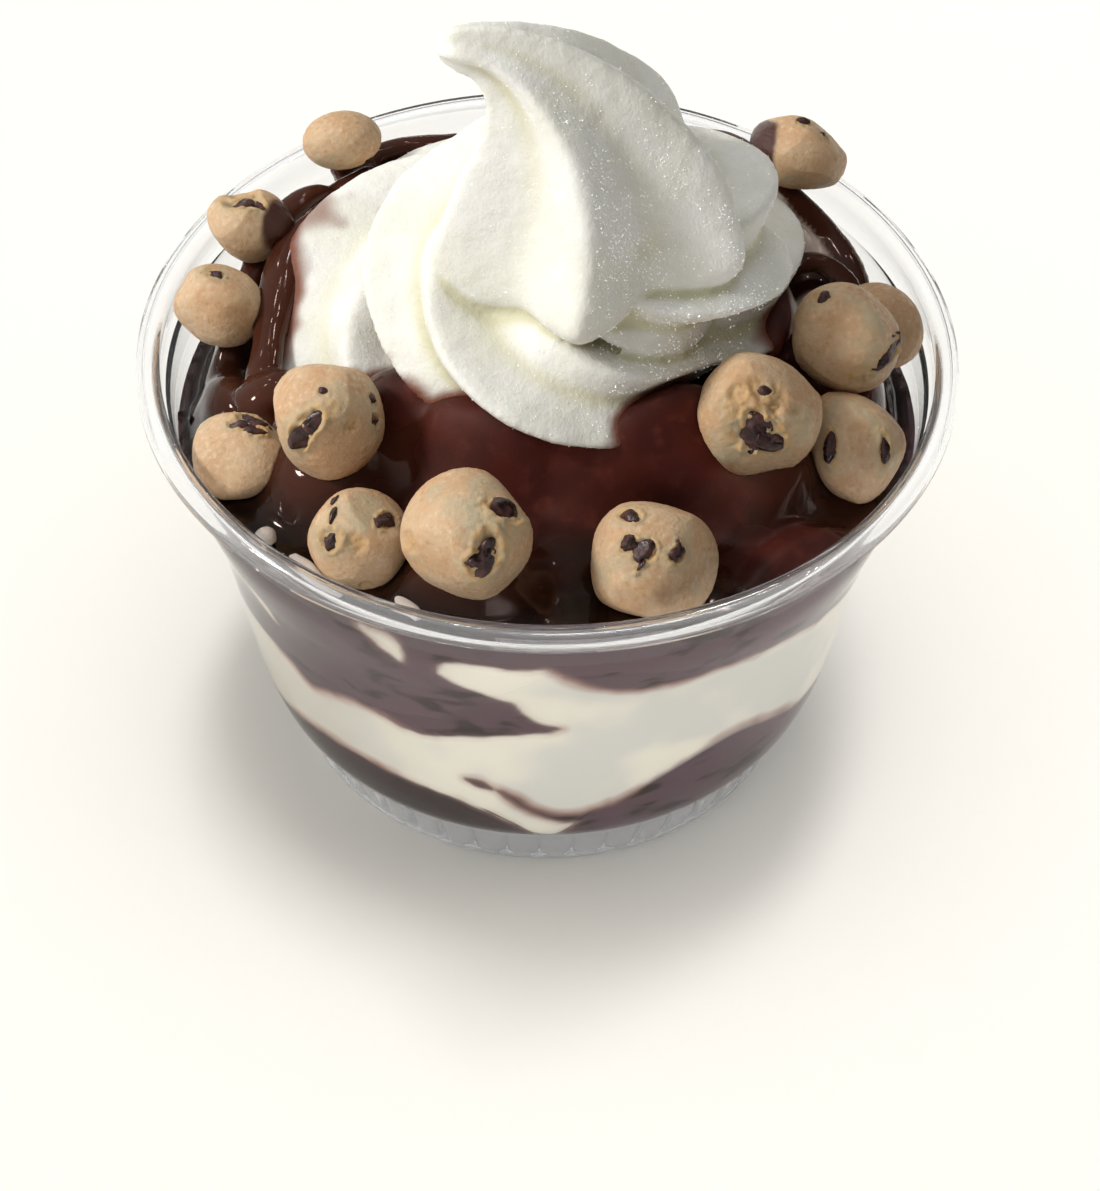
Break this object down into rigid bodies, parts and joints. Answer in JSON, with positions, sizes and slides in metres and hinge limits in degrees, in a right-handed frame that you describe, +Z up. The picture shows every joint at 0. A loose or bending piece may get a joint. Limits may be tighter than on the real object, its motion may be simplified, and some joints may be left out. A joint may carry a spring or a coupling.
{
  "type": "ice cream sundae",
  "caption": "Soft-serve sundae in a clear plastic cup, with layers of fudge, a tall fluted swirl and balls of cookie dough.",
  "frame": {"origin": "centre of the ring that the cup stands on", "axes": "+Z up along the cup, -Y towards the front"},
  "size_m": [0.098, 0.098, 0.1029],
  "materials": {
    "clear_plastic": "clear, glossy",
    "fudge": "thick glossy fudge",
    "soft_serve": "soft, finely grained ice cream",
    "dough": "dry, crumbly dough with chips"
  },
  "bodies": {
    "root": {"cup": "clear_plastic", "fudge_bottom": "fudge", "ice_cream_middle": "soft_serve", "fudge_top": "fudge", "ice_cream_swirl": "soft_serve", "dough_ball_rear_left": "dough", "dough_ball_left_upper": "dough", "dough_ball_left": "dough", "dough_ball_left_lower": "dough", "dough_ball_front_left_upper": "dough", "dough_ball_front_left_lower": "dough", "dough_ball_front_middle": "dough", "dough_ball_front_right": "dough", "dough_ball_right_front": "dough", "dough_ball_right_upper": "dough", "dough_ball_right_ledge": "dough", "dough_ball_right_lower": "dough", "dough_ball_rear_right": "dough"}
  },
  "joints": []
}
